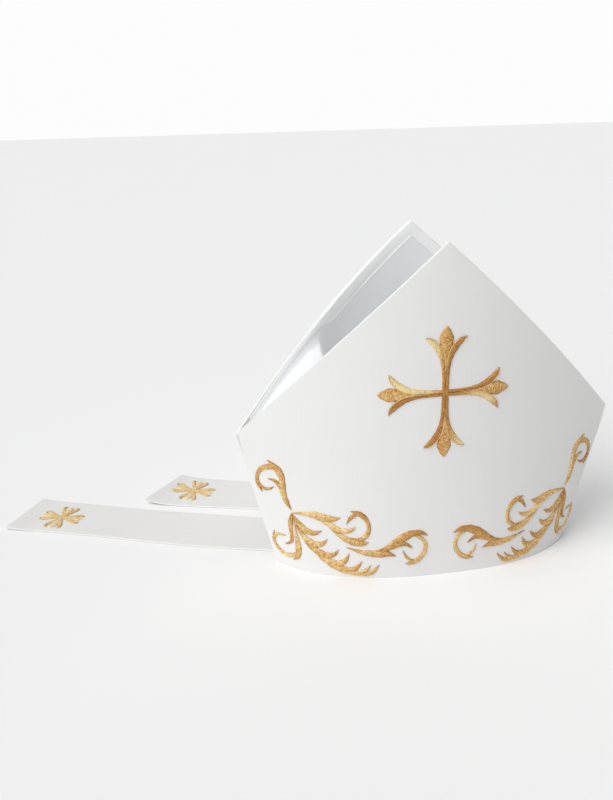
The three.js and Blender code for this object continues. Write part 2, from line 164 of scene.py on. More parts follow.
# Painted highlight: a light line of stitches between the middle and side petals: half width, where it starts,
# lift and tones.
HIGHLIGHT_EDGE_HALF_WIDTH = 0.3
HIGHLIGHT_EDGE_START = 17
HIGHLIGHT_EDGE_LIFT = 0.75
HIGHLIGHT_EDGE_TONES = (0.7, 0.95, 0.85, 0.4)
# One arm of a lappet's cross, with columns and tones as for the large one; its tones are painted sheen.
LAPPET_MIDDLE = [(0, 0, 1.6), (0, 9, 2.9), (0, 14, 3.6), (0, 17.5, 2.8), (0, 20.5, 0.3)]
LAPPET_SIDE = [(0.9, 2, 1.5), (2.8, 8, 2.0), (5.0, 12.5, 2.2), (6.9, 16.2, 1.9), (6.4, 19.3, 1.3),
               (4.6, 19.6, 0.3)]
LAPPET_SHEEN_TONES = [
    ((0.45, 0.9), (0.4, 0.5, 0.25), (0.35, 0.4, 0.2)),
    ((0.4, 0.75), (0.3, 0.45, 0.2), (0.4, 0.5, 0.3)),
] * 2

# Leaves of one corner scroll. Each is its tone, which is painted sheen, and rows of: along the
# panel from its middle, height, half width.
SCROLLS = {
    "curl_upper": [
        (0.45, [(-123.4, 56.8, 0.2), (-126.2, 61.5, 1.8), (-128.8, 67, 2.6), (-130.2, 72.5, 3.0),
                (-130.5, 78, 2.9), (-130.7, 84, 2.8), (-132.4, 89.5, 3.3), (-136, 94, 3.0),
                (-139.8, 97.4, 1.5), (-143, 100, 0.2)]),
        (0.3, [(-130.5, 71.5, 0.6), (-132, 76, 2.0), (-134.8, 79.8, 2.0), (-138.5, 82.2, 1.4),
               (-143, 82.8, 0.2)]),
        (0.35, [(-132.5, 91.5, 0.5), (-138, 93.9, 2.2), (-143.5, 93.6, 2.4), (-148.3, 91.4, 2.2),
                (-151.6, 87.2, 1.8), (-153.2, 82, 1.8), (-152.8, 77.2, 2.0), (-151, 73.2, 1.4),
                (-149, 69.5, 0.2)]),
        (0.25, [(-152.3, 79.5, 0.4), (-150.2, 75.5, 1.3), (-146.5, 73.1, 1.5), (-142.3, 73.6, 1.2),
                (-138, 76.3, 0.2)]),
    ],
    "scroll": [
        (0.5, [(-123.5, 54, 0.4), (-117, 54.9, 1.2), (-110, 55.2, 2.2), (-103, 54.8, 3.4),
               (-97, 53.5, 3.6), (-91, 52.7, 3.0), (-86.5, 53.2, 1.8), (-82.3, 54.6, 0.2)]),
        (0.6, [(-103, 52, 0.5), (-97, 50.3, 1.6), (-92, 48, 2.4), (-87.5, 45.2, 2.9),
               (-83, 43.1, 2.4), (-78, 42.6, 2.3), (-73.5, 43.8, 1.6), (-69.8, 46.6, 0.2)]),
        (0.45, [(-92, 45.5, 0.4), (-87, 41.5, 1.2), (-82, 37.8, 2.2), (-77, 35, 2.9),
                (-72, 33, 3.2), (-67, 32, 2.8), (-63, 32, 1.9), (-59.5, 33, 0.2)]),
        (0.35, [(-74.5, 36.6, 0.3), (-69.5, 35.4, 1.2), (-65, 35.9, 1.9), (-61.6, 38.9, 2.1),
                (-59.6, 43, 1.9), (-59.4, 47.5, 1.7), (-60.9, 52.5, 1.9), (-64, 56.6, 2.3),
                (-68, 58.8, 2.2), (-71.5, 60, 1.2), (-74.3, 60.6, 0.2)]),
        (0.2, [(-66.5, 58.2, 0.5), (-70, 57.7, 1.6), (-73, 55.6, 1.7), (-75.3, 52.8, 1.2),
               (-77.3, 48.7, 0.2)]),
        (0.4, [(-122, 52, 0.4), (-119, 47.5, 1.9), (-115.5, 43.2, 2.8), (-111.5, 39.8, 3.1),
               (-107, 38.3, 2.6), (-102.5, 38.9, 1.7), (-97.8, 41.4, 0.2)]),
        (0.5, [(-120.5, 44, 0.5), (-117, 38, 1.6), (-113, 33.2, 2.6), (-108.5, 29.8, 3.2),
               (-103.5, 28, 3.0), (-98.8, 28.8, 2.4), (-95.5, 31.3, 1.3), (-93.4, 34.3, 0.2)]),
        (0.38, [(-114, 31.5, 0.5), (-108.5, 26.3, 2.4), (-103, 22.3, 3.0), (-97, 19.6, 3.2),
                (-91.5, 19, 2.6), (-87.3, 21, 1.6), (-83.8, 25.4, 0.2)]),
        (0.48, [(-104.5, 22.5, 0.5), (-98.5, 17, 2.4), (-92.5, 13.6, 3.1), (-86.5, 12, 3.3),
                (-81.3, 13.2, 2.8), (-77.6, 17, 1.7), (-75.3, 22.2, 0.2)]),
        (0.4, [(-97, 15, 0.5), (-91, 10.7, 2.0), (-84.5, 8.3, 2.6), (-78, 7.4, 2.6),
               (-72.5, 7.6, 2.3), (-68, 10.6, 1.5), (-64.6, 15.7, 0.2)]),
        (0.5, [(-88, 8, 0.4), (-80.5, 5.4, 1.6), (-73, 4.6, 1.9), (-66.5, 4.9, 2.0),
               (-61.5, 7.2, 1.6), (-57.4, 12, 0.2)]),
        (0.42, [(-79, 4.6, 0.3), (-71.5, 3.8, 1.2), (-64.5, 3.5, 1.5), (-59, 4.3, 1.9),
                (-54.8, 7, 1.7), (-50.6, 12.7, 0.2)]),
        (0.35, [(-122.8, 54.3, 0.6), (-124, 49.5, 1.9), (-125, 44, 2.2), (-125, 38, 1.8),
                (-124.4, 32, 1.6), (-124.8, 27.5, 1.6), (-127.4, 24.8, 1.1), (-131.2, 23.3, 0.2)]),
        (0.5, [(-121.8, 50, 0.5), (-120.9, 40, 0.9), (-119.9, 32, 1.9), (-118.9, 25, 2.8),
               (-118.8, 18, 2.8), (-120, 12.8, 2.1), (-124.3, 8.6, 0.2)]),
        (0.6, [(-119.5, 17.5, 0.5), (-124.5, 13.6, 2.0), (-130.5, 12.2, 2.1), (-136, 14.2, 2.0),
               (-140.6, 18.4, 1.9), (-142.7, 23.5, 1.9), (-142.5, 28.5, 1.4), (-141.2, 34, 0.2)]),
        (0.5, [(-141.8, 25.5, 0.4), (-140, 29.3, 1.4), (-137, 31.3, 1.3), (-133.5, 31.8, 1.0),
               (-129.7, 31.5, 0.2)]),
    ],
    "curl_inner": [
        (0.4, [(-77.6, 27.8, 0.2), (-70, 25.4, 1.2), (-63, 23.5, 2.3), (-56, 22.7, 3.0),
               (-50, 22.6, 3.4), (-45, 22.6, 2.9), (-41, 21.6, 1.7), (-36.8, 20.2, 0.2)]),
        (0.25, [(-55, 24.5, 0.6), (-49, 25.6, 1.6), (-43.5, 27.8, 2.6), (-38.5, 31.2, 3.4),
                (-33.5, 35, 3.8), (-28, 38.4, 3.6), (-22.5, 40.2, 2.9), (-16.5, 40.3, 2.1),
                (-10.8, 37.4, 0.2)]),
        (0.2, [(-47, 25, 0.5), (-41.5, 27.6, 1.6), (-36, 30.2, 2.2), (-31, 31, 1.9),
               (-27, 29.6, 1.4), (-23.4, 26.7, 0.2)]),
        (0.5, [(-26, 38.5, 0.4), (-20.5, 38, 1.4), (-16.3, 35.3, 1.6), (-13.3, 31.5, 1.7),
               (-12.5, 27, 1.8), (-13.8, 22, 1.9), (-16.8, 17.5, 2.1), (-20.8, 14.3, 2.2),
               (-25, 13, 1.5), (-29.3, 12.5, 0.2)]),
        (0.4, [(-20.5, 15, 0.5), (-24.5, 15.6, 1.4), (-28, 18.3, 1.3), (-30, 21.6, 0.9),
               (-31.2, 25.2, 0.2)]),
    ],
}

# Camera: bearing, height, distance from the middle of the mitre, the turns that frame it, and
# the focal length over the frame's long side.
CAMERA_BEARING = -16.974
CAMERA_ELEVATION = 20.06
CAMERA_DISTANCE = 0.7444
CAMERA_YAW = 7.71
CAMERA_PITCH = -0.281
CAMERA_ROLL = -1.594
CAMERA_LENS = 39.99
CAMERA_SENSOR = 36

# A soft key from the front left, a wide one overhead and a weak one behind (strength, bearing,
# height, spread), in a pale room that is brightest near the horizon.
LIGHTS = {
    "key_light": (0.62, -62, 37, 46),
    "top_light": (0.31, -20, 80, 50),
    "back_light": (0.14, 165, 40, 60),
}
HORIZON_LIGHT = 0.98
SKY_LIGHT = 0.13


# ---------------------------------------------------------------- surfaces, in millimetres
def section(t, depth, power, rounding):
    return depth * np.clip(1 - np.abs(t) ** power, 0, None) ** rounding


def wall_points(side, t, z, inset=0.0):
    """Points of a panel at t across (-1 to 1) and height z, set in from its outer face."""
    panel = PANELS[side]
    t, z, inset = np.broadcast_arrays(np.asarray(t, float), np.asarray(z, float), np.asarray(inset, float))
    rise = z / SHOULDER_HEIGHT
    half = BASE_HALF_WIDTH + (SHOULDER_HALF_WIDTH - BASE_HALF_WIDTH) * np.minimum(rise, 1)
    half = half - inset * SIDE_INSET_RATIO
    low = section(t, panel["depth"][0] - inset, panel["power"][0], panel["round"][0])
    high = section(t, panel["depth"][1] - inset, panel["power"][1], panel["round"][1])
    lean = np.clip((z - SHOULDER_HEIGHT) / (PEAK_HEIGHT - SHOULDER_HEIGHT), 0, None)
    lean = lean * (panel["tip"] - panel["depth"][1])
    depth = np.where(rise <= 1, low + (high - low) * rise, high + lean)
    return np.stack([t * half, panel["sign"] * (SEAM_HALF_GAP + depth), z], -1)


def arc_lengths(side, z, count=241):
    t = np.sin(np.linspace(0, math.pi / 2, count))
    points = wall_points(side, t, np.full(count, z))
    steps = np.linalg.norm(np.diff(points, axis=0), axis=1)
    return t, np.concatenate([[0], np.cumsum(steps)])


def edge_heights(side, t):
    """Height of the slanted edge that runs from the shoulder up to the tip."""
    places, lengths = arc_lengths(side, SHOULDER_HEIGHT)
    share = np.interp(np.abs(t), places, lengths / lengths[-1])
    return PEAK_HEIGHT - (PEAK_HEIGHT - SHOULDER_HEIGHT) * share ** EDGE_CURVE


FRONT_LEVELS = np.linspace(0, PEAK_HEIGHT, 111)
FRONT_SHARES = np.linspace(0, 1, 401)
FRONT_TABLE = []
FRONT_LENGTHS = []
for level in FRONT_LEVELS:
    level_t, level_lengths = arc_lengths("front", level)
    FRONT_LENGTHS.append(level_lengths[-1])
    FRONT_TABLE.append(np.interp(FRONT_SHARES, level_lengths / level_lengths[-1], level_t))
FRONT_TABLE = np.array(FRONT_TABLE)
FRONT_LENGTHS = np.array(FRONT_LENGTHS)


def front_t(u, z):
    """Place across the front panel of a point u along it from its middle line at height z."""
    row = np.clip(z / PEAK_HEIGHT * (len(FRONT_LEVELS) - 1), 0, len(FRONT_LEVELS) - 1.001)
    i = row.astype(int)
    f = row - i
    length = FRONT_LENGTHS[i] * (1 - f) + FRONT_LENGTHS[i + 1] * f
    column = np.clip(np.abs(u) / length, 0, 0.9999) * (len(FRONT_SHARES) - 1)
    j = column.astype(int)
    g = column - j
    low = FRONT_TABLE[i, j] * (1 - g) + FRONT_TABLE[i, j + 1] * g
    high = FRONT_TABLE[i + 1, j] * (1 - g) + FRONT_TABLE[i + 1, j + 1] * g
    return np.sign(u) * (low * (1 - f) + high * f)


def front_points(u, z, lift):
    """Points on the front panel's face, lifted off it along its normal."""
    t = front_t(u, z)
    along_t = wall_points("front", t + 1e-3, z) - wall_points("front", t - 1e-3, z)
    along_z = wall_points("front", t, z + 0.5) - wall_points("front", t, z - 0.5)
    normal = np.cross(along_t, along_z)
    normal /= np.linalg.norm(normal, axis=-1, keepdims=True)
    return wall_points("front", t, z) + normal * lift[:, None]


def smooth_rows(rows, place):
    """Catmull-Rom curve through table rows at places from 0 to 1."""
    rows = np.asarray(rows, float)
    ends = np.vstack([2 * rows[0] - rows[1], rows, 2 * rows[-1] - rows[-2]])
    spot = np.clip(np.asarray(place, float), 0, 1) * (len(rows) - 1)
    i = np.minimum(spot.astype(int), len(rows) - 2)
    f = (spot - i)[..., None]
    a, b, c, d = ends[i], ends[i + 1], ends[i + 2], ends[i + 3]
    return 0.5 * (2 * b + (c - a) * f + (2 * a - 5 * b + 4 * c - d) * f ** 2
                  + (3 * b - a - 3 * c + d) * f ** 3)


def tip_lift(name, x, y):
    """How far the free end of a lappet has curled up off the table."""
    near_x, near_y, far_x, far_y = LAPPETS[name][0]
    width = math.hypot(far_x - near_x, far_y - near_y)
    distance = ((x - near_x) * (far_y - near_y) - (y - near_y) * (far_x - near_x)) / width
    return TIP_CURL[name] * np.clip(1 - distance / TIP_CURL_LENGTH, 0, None) ** 2


# ---------------------------------------------------------------- mesh helpers
# Faces across and along each kind of cloth, and the distance under which vertices are one.
PANEL_GRID = (132, 100)
FACING_GRID = (160, 15)
LINING_GRID = (200, 110)
LAPPET_GRID = (120, 24)
MERGE_DISTANCE = 1e-7


def grid_faces(bm, columns, rows, place):
    """Adds a grid, puts each vertex where place(across 0-1, along 0-1) says, gives its UV layer."""
    uv = bm.loops.layers.uv.verify()
    made = bmesh.ops.create_grid(bm, x_segments=columns, y_segments=rows, size=1, calc_uvs=True)
    verts = made["verts"]
    flat = np.array([(v.co.x, v.co.y) for v in verts]) * 0.5 + 0.5
    for vert, point in zip(verts, place(flat[:, 0], flat[:, 1])):
        vert.co = Vector(point) * MM
    return uv


def finish_piece(bm, name, material, replaced, thickness, bevel, outward):
    """Turns the faces outward, gives the cloth its thickness and hands the piece to the frame."""
    bmesh.ops.remove_doubles(bm, verts=bm.verts, dist=MERGE_DISTANCE)
    total = sum(outward(f.calc_center_median()).dot(f.normal) * f.calc_area() for f in bm.faces)
    if total < 0:
        bmesh.ops.reverse_faces(bm, faces=bm.faces)
    mesh = bpy.data.meshes.new(name)
    bm.to_mesh(mesh)
    bm.free()
    mesh.shade_smooth()
    piece = bpy.data.objects.new(name, mesh)
    bpy.context.scene.collection.objects.link(piece)
    mesh.materials.append(material)
    wall = piece.modifiers.new("cloth thickness", "SOLIDIFY")
    wall.thickness = thickness
    wall.offset = -1
    wall.use_even_offset = True
    if bevel:
        edge = piece.modifiers.new("soft edge", "BEVEL")
        edge.width = bevel
        edge.segments = 3
        edge.limit_method = "ANGLE"
        edge.angle_limit = math.radians(50)
    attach(piece, "root")
    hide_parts(*replaced)
    return piece


# ---------------------------------------------------------------- materials
def new_material(name):
    material = bpy.data.materials.new(name)
    material.use_nodes = True
    nodes = material.node_tree.nodes
    shader = next(n for n in nodes if n.type == "BSDF_PRINCIPLED")
    return material, nodes, material.node_tree.links, shader


def cloth_material(name, colour, rib, rib_depth, sheen=0.04, roughness=0.85, mottled=0.012):
    """Woven cloth with a fine upright rib, its thread crossings, a faint unevenness and painted shade in the
    grooves between the ribs.
    """
    material, nodes, links, shader = new_material(name)
    shader.inputs["Roughness"].default_value = roughness
    shader.inputs["Sheen Weight"].default_value = sheen
    shader.inputs["Sheen Roughness"].default_value = 0.5
    shader.inputs["Specular IOR Level"].default_value = 0.15
    uv = nodes.new("ShaderNodeUVMap")
    uv.uv_map = "cloth"
    ribs = nodes.new("ShaderNodeTexWave")
    ribs.wave_type = "BANDS"
    ribs.bands_direction = "X"
    ribs.inputs["Scale"].default_value = rib
    ribs.inputs["Distortion"].default_value = 0.6
    ribs.inputs["Detail"].default_value = 2
    ribs.inputs["Detail Scale"].default_value = 1.5
    links.new(uv.outputs["UV"], ribs.inputs["Vector"])
    picks = nodes.new("ShaderNodeTexWave")
    picks.wave_type = "BANDS"
    picks.bands_direction = "Y"
    picks.inputs["Scale"].default_value = rib * 1.4
    picks.inputs["Distortion"].default_value = 0.8
    links.new(uv.outputs["UV"], picks.inputs["Vector"])
    weave = nodes.new("ShaderNodeMix")
    weave.data_type = "FLOAT"
    weave.inputs["Factor"].default_value = 0.3
    links.new(ribs.outputs["Fac"], weave.inputs["A"])
    links.new(picks.outputs["Fac"], weave.inputs["B"])
    bump = nodes.new("ShaderNodeBump")
    bump.inputs["Strength"].default_value = 1.0
    bump.inputs["Distance"].default_value = rib_depth
    links.new(weave.outputs["Result"], bump.inputs["Height"])
    links.new(bump.outputs["Normal"], shader.inputs["Normal"])
    streaks = nodes.new("ShaderNodeTexNoise")
    streaks.inputs["Scale"].default_value = 90
    streaks.inputs["Detail"].default_value = 4
    stretch = nodes.new("ShaderNodeMapping")
    stretch.inputs["Scale"].default_value = (8, 0.35, 1)
    links.new(uv.outputs["UV"], stretch.inputs["Vector"])
    links.new(stretch.outputs["Vector"], streaks.inputs["Vector"])
    tint = nodes.new("ShaderNodeMix")
    tint.data_type = "RGBA"
    tint.inputs["A"].default_value = (*[c * (1 - mottled * 3) for c in colour], 1)
    tint.inputs["B"].default_value = (*[min(1, c * (1 + mottled)) for c in colour], 1)
    links.new(streaks.outputs["Fac"], tint.inputs["Factor"])
    # Painted shade: the cloth is a little darker in the grooves between its ribs.
    groove_shade = nodes.new("ShaderNodeMix")
    groove_shade.data_type = "RGBA"
    groove_shade.blend_type = "MULTIPLY"
    groove_shade.inputs["B"].default_value = (0.965, 0.965, 0.96, 1)
    links.new(ribs.outputs["Fac"], groove_shade.inputs["Factor"])
    links.new(tint.outputs["Result"], groove_shade.inputs["A"])
    links.new(groove_shade.outputs["Result"], shader.inputs["Base Color"])
    return material


def satin_material(name, colour):
    """Smooth satin with soft creases, painted shade in their hollows and a cool shine."""
    material, nodes, links, shader = new_material(name)
    shader.inputs["Roughness"].default_value = 0.42
    shader.inputs["Sheen Weight"].default_value = 0.3
    shader.inputs["Sheen Roughness"].default_value = 0.4
    shader.inputs["Anisotropic"].default_value = 0.5
    place = nodes.new("ShaderNodeTexCoord")
    creases = nodes.new("ShaderNodeTexNoise")
    creases.inputs["Scale"].default_value = 24
    creases.inputs["Detail"].default_value = 3
    creases.inputs["Distortion"].default_value = 0.6
    links.new(place.outputs["Object"], creases.inputs["Vector"])
    threads = nodes.new("ShaderNodeTexWave")
    threads.bands_direction = "Z"
    threads.inputs["Scale"].default_value = 900
    threads.inputs["Distortion"].default_value = 1.0
    links.new(place.outputs["Object"], threads.inputs["Vector"])
    fine = nodes.new("ShaderNodeBump")
    fine.inputs["Strength"].default_value = 0.25
    fine.inputs["Distance"].default_value = 0.00005
    links.new(threads.outputs["Fac"], fine.inputs["Height"])
    bump = nodes.new("ShaderNodeBump")
    bump.inputs["Strength"].default_value = 0.5
    bump.inputs["Distance"].default_value = 0.003
    links.new(creases.outputs["Fac"], bump.inputs["Height"])
    links.new(fine.outputs["Normal"], bump.inputs["Normal"])
    links.new(bump.outputs["Normal"], shader.inputs["Normal"])
    # Painted shade: the satin is darker in the hollows of its creases.
    tint = nodes.new("ShaderNodeMix")
    tint.data_type = "RGBA"
    tint.inputs["A"].default_value = (*[c * 0.93 for c in colour], 1)
    tint.inputs["B"].default_value = (*colour, 1)
    links.new(creases.outputs["Fac"], tint.inputs["Factor"])
    links.new(tint.outputs["Result"], shader.inputs["Base Color"])
    return material


BREAKS_ALONG_STITCH = 5


def thread_material(name, dark, middle, light):
    """Embroidery thread: each leaf has its own tone, and each stitch varies along its length. The tone runs
    from painted shade through the gold to painted highlight.
    """
    material, nodes, links, shader = new_material(name)
    shader.inputs["Roughness"].default_value = 0.42
    shader.inputs["Specular IOR Level"].default_value = 0.45
    shader.inputs["Anisotropic"].default_value = 0.6
    shader.inputs["Sheen Weight"].default_value = 0.05
    tangent = nodes.new("ShaderNodeTangent")
    tangent.direction_type = "UV_MAP"
    tangent.uv_map = "stitches"
    links.new(tangent.outputs["Tangent"], shader.inputs["Tangent"])
    sheen_tone = nodes.new("ShaderNodeAttribute")
    sheen_tone.attribute_name = "sheen_tone"
    uv = nodes.new("ShaderNodeUVMap")
    uv.uv_map = "stitches"
    cell = nodes.new("ShaderNodeVectorMath")
    cell.operation = "MULTIPLY"
    cell.inputs[1].default_value = (1, BREAKS_ALONG_STITCH, 1)
    links.new(uv.outputs["UV"], cell.inputs[0])
    step = nodes.new("ShaderNodeVectorMath")
    step.operation = "FLOOR"
    links.new(cell.outputs["Vector"], step.inputs[0])
    chance = nodes.new("ShaderNodeTexWhiteNoise")
    chance.noise_dimensions = "2D"
    links.new(step.outputs["Vector"], chance.inputs["Vector"])
    patches = nodes.new("ShaderNodeTexNoise")
    patches.inputs["Scale"].default_value = 800
    patches.inputs["Detail"].default_value = 3
    place = nodes.new("ShaderNodeTexCoord")
    links.new(place.outputs["Object"], patches.inputs["Vector"])
    vary = nodes.new("ShaderNodeMath")
    vary.operation = "MULTIPLY_ADD"
    vary.inputs[1].default_value = 0.44
    links.new(chance.outputs["Value"], vary.inputs[0])
    links.new(sheen_tone.outputs["Fac"], vary.inputs[2])
    patch = nodes.new("ShaderNodeMath")
    patch.operation = "MULTIPLY_ADD"
    patch.inputs[1].default_value = 0.95
    links.new(patches.outputs["Fac"], patch.inputs[0])
    links.new(vary.outputs["Value"], patch.inputs[2])
    centred = nodes.new("ShaderNodeMath")
    centred.operation = "SUBTRACT"
    centred.inputs[1].default_value = 0.665
    centred.use_clamp = True
    links.new(patch.outputs["Value"], centred.inputs[0])
    # The ramp runs from painted shade through the thread's own gold to painted highlight.
    ramp = nodes.new("ShaderNodeValToRGB")
    ramp.color_ramp.elements[0].position = 0.0
    ramp.color_ramp.elements[0].color = (*dark, 1)
    ramp.color_ramp.elements[1].position = 1.0
    ramp.color_ramp.elements[1].color = (*light, 1)
    between = ramp.color_ramp.elements.new(0.45)
    between.color = (*middle, 1)
    links.new(centred.outputs["Value"], ramp.inputs["Fac"])
    links.new(ramp.outputs["Color"], shader.inputs["Base Color"])
    return material


def floor_material(colour):
    material, nodes, links, shader = new_material("pale_table")
    shader.inputs["Roughness"].default_value = 0.9
    shader.inputs["Specular IOR Level"].default_value = 0.1
    place = nodes.new("ShaderNodeTexCoord")
    grain = nodes.new("ShaderNodeTexNoise")
    grain.inputs["Scale"].default_value = 3
    links.new(place.outputs["Object"], grain.inputs["Vector"])
    tint = nodes.new("ShaderNodeMix")
    tint.data_type = "RGBA"
    tint.inputs["A"].default_value = (*[c * 0.99 for c in colour], 1)
    tint.inputs["B"].default_value = (*colour, 1)
    links.new(grain.outputs["Fac"], tint.inputs["Factor"])
    links.new(tint.outputs["Result"], shader.inputs["Base Color"])
    return material


MATERIALS = {}


def material_for(kind):
    sizes = bpy.context.scene.mitre
    if kind not in MATERIALS:
        if kind == "panel":
            MATERIALS[kind] = cloth_material("white_ribbed_cloth", sizes.cloth_colour, 560, 0.00006)
        elif kind == "lappet":
            MATERIALS[kind] = cloth_material("lappet_cloth", sizes.lappet_colour, 560, 0.00005, sheen=0.05)
        elif kind == "facing":
            MATERIALS[kind] = cloth_material("facing_cloth", sizes.facing_painted_light_colour, 560, 0.00005, roughness=0.6)
        elif kind == "pale":
            MATERIALS[kind] = thread_material(
                "pale_gold_thread", sizes.pale_shade, sizes.pale_middle, sizes.pale_highlight)
        elif kind == "lining":
            MATERIALS[kind] = satin_material("satin_lining", sizes.lining_colour)
        else:
            MATERIALS[kind] = thread_material(
                "gold_thread", sizes.thread_shade, sizes.thread_middle, sizes.thread_highlight)
    return MATERIALS[kind]


# ---------------------------------------------------------------- settings
class MitreSizes(bpy.types.PropertyGroup):
    """Sizes and colours of the mitre that a maker may change."""

    panel_thickness: FloatProperty(
        name="Panel thickness", description="Cloth and stiffener together",
        default=0.0022, unit="LENGTH")
    lining_thickness: FloatProperty(
        name="Lining thickness", description="Satin lining", default=0.0006, unit="LENGTH")
    facing_thickness: FloatProperty(
        name="Facing thickness", description="Cloth turned in along the slanted edges",
        default=0.0006, unit="LENGTH")
    facing_width: FloatProperty(
        name="Facing width", description="Height of the turned-in band", default=0.0122, unit="LENGTH")
    stitch_pitch: FloatProperty(
        name="Stitch pitch", description="Distance from one satin stitch to the next",
        default=0.0005, unit="LENGTH")
    stitch_relief: FloatProperty(
        name="Stitch relief", description="How far the padded stitching stands off the cloth",
        default=0.0011, unit="LENGTH")
    across_stitch: IntProperty(
        name="Steps across", description="Faces along each stitch", default=6, min=2)
    cloth_colour: FloatVectorProperty(
        name="Cloth", description="White outer cloth", subtype="COLOR", default=(0.86, 0.86, 0.855))
    # Painted light: the facing is the outer cloth, painted lighter to make up for the shade inside the mitre.
    facing_painted_light_colour: FloatVectorProperty(
        name="Facing cloth", description="White cloth turned in along the edges", subtype="COLOR",
        default=(0.985, 0.987, 0.982))
    lappet_colour: FloatVectorProperty(
        name="Lappet cloth", description="White cloth of the lappets", subtype="COLOR",
        default=(0.85, 0.845, 0.835))
    lining_colour: FloatVectorProperty(
        name="Lining", description="Cool white satin", subtype="COLOR", default=(0.88, 0.892, 0.902))
    # Dark thread is painted shade and bright thread is painted highlight, for the satin's sheen by stitch
    # direction; gold thread is the thread's own colour.
    thread_shade: FloatVectorProperty(
        name="Dark thread", description="Thread seen along its length", subtype="COLOR",
        default=(0.33, 0.12, 0.018))
    thread_middle: FloatVectorProperty(
        name="Gold thread", description="Thread in plain light", subtype="COLOR",
        default=(0.62, 0.31, 0.065))
    thread_highlight: FloatVectorProperty(
        name="Bright thread", description="Thread catching the light", subtype="COLOR",
        default=(0.98, 0.8, 0.42))
    # The lappets' dark thread is painted shade and their bright thread painted highlight; their middle thread
    # is the thread's own colour.
    pale_shade: FloatVectorProperty(
        name="Lappet dark thread", description="Thread at the rims of the lappets' crosses",
        subtype="COLOR", default=(0.55, 0.33, 0.1))
    pale_middle: FloatVectorProperty(
        name="Lappet thread", description="Thread of the lappets' crosses", subtype="COLOR",
        default=(0.8, 0.57, 0.25))
    pale_highlight: FloatVectorProperty(
        name="Lappet bright thread", description="Thread in the hearts of the lappets' crosses",
        subtype="COLOR", default=(0.93, 0.8, 0.54))
    floor_colour: FloatVectorProperty(
        name="Table", description="Pale table", subtype="COLOR", default=(0.95, 0.95, 0.95))


# ---------------------------------------------------------------- pieces
def make_panel(side):
    sizes = bpy.context.scene.mitre
    bm = bmesh.new()

    def place(across, up):
        t = np.sin((across * 2 - 1) * math.pi / 2 * SIDE_CROWDING) / math.sin(math.pi / 2 * SIDE_CROWDING)
        top = edge_heights(side, t)
        share = SHOULDER_HEIGHT / PEAK_HEIGHT * LOWER_ROWS
        z = np.where(up < share, up / share * SHOULDER_HEIGHT,
                     SHOULDER_HEIGHT + (up - share) / (1 - share) * (top - SHOULDER_HEIGHT))
        return wall_points(side, t, z)

    uv = grid_faces(bm, *PANEL_GRID, place)
    for face in bm.faces:
        for loop in face.loops:
            loop[uv].uv = (loop.vert.co.x * CLOTH_STRETCH[side], loop.vert.co.z)
    sign = PANELS[side]["sign"]
    piece = finish_piece(
        bm, f"{side}_cloth", material_for("panel"), [f"{side}_panel"],
        sizes.panel_thickness, 0.0008, lambda p: Vector((p.x * 0.5, sign * 0.1, 0)))
    piece.data.uv_layers[0].name = "cloth"
    return piece


def make_facing(side):
    sizes = bpy.context.scene.mitre
    bm = bmesh.new()

    def place(across, up):
        t = (across * 2 - 1) * FACING_REACH
        wrap = np.clip((up - 0.8) / 0.2, 0, 1)
        top = edge_heights(side, t) - 0.35
        flat = top - (1 - up / 0.8) * (sizes.facing_width / MM - 0.35)
        z = np.where(up < 0.8, flat, top + 0.45 * np.sqrt(wrap))
        body = np.sin(np.clip(up / 0.8, 0, 1) * math.pi)
        ripple = 0.12 * np.sin(across * 61) * np.sin(across * 23 + 1) * body
        return wall_points(side, t, z, WALL + 0.15 + ripple + 0.25 * body - 1.7 * wrap ** 2)

    uv = grid_faces(bm, *FACING_GRID, place)
    for face in bm.faces:
        for loop in face.loops:
            loop[uv].uv = (loop.vert.co.x, loop.vert.co.z)
    sign = PANELS[side]["sign"]
    piece = finish_piece(
        bm, f"{side}_facing_cloth", material_for("facing"), [f"{side}_facing"],
        sizes.facing_thickness, 0.0003, lambda p: Vector((0, sign, 0)))
    piece.data.uv_layers[0].name = "cloth"
    return piece


def lining_points(across, round_it):
    """The pocket between the peaks: across the mitre, and round from front edge to back edge."""
    t = (across * 2 - 1) * LINING_REACH
    place = np.abs(t)
    drop, sag, square = (np.interp(place, LINING_ROWS[:, 0], LINING_ROWS[:, k]) for k in (1, 2, 3))
    # Where the pocket is square its rows crowd toward the seams, so that none is tall.
    crowding = 1 + 2 * np.clip((square - 2) / 3, 0, 1)
    reach = np.minimum(round_it, 1 - round_it)
    reach = 0.5 * (2 * reach) ** crowding
    angle = math.pi * np.where(round_it < 0.5, reach, 1 - reach)
    cosine = np.cos(angle)
    share = 0.5 - 0.5 * np.sign(cosine) * np.abs(cosine) ** (2 / square)
    fall = np.sin(angle) ** (2 / square)
    rounded = np.hypot(t, RIDGE_ROUNDING * np.minimum(2 * fall, 1))
    seam = edge_heights("front", rounded) * (1 - share) + edge_heights("back", rounded) * share
    z = seam - drop - sag * fall
    folds = (0.9 * np.sin(t * 21 + 3 * share) * np.sin(angle * 2 + t * 4)
             + 0.5 * np.sin(t * 47 + z * 0.05) * np.sin(angle * 3))
    inset = 3.4 + 0.2 * np.clip((place - 0.43) / 0.08, 0, 1) + (0.6 + 0.6 * folds) * np.sin(angle)
    front = wall_points("front", t, z, inset)
    back = wall_points("back", t, z, inset)
    return front * (1 - share)[:, None] + back * share[:, None]


def make_lining():
    sizes = bpy.context.scene.mitre
    bm = bmesh.new()
    grid_faces(bm, *LINING_GRID, lining_points)
    return finish_piece(
        bm, "satin_pocket", material_for("lining"), ["lining"],
        sizes.lining_thickness, 0.0, lambda p: Vector((0, -p.y * 0.2, 0.01)))


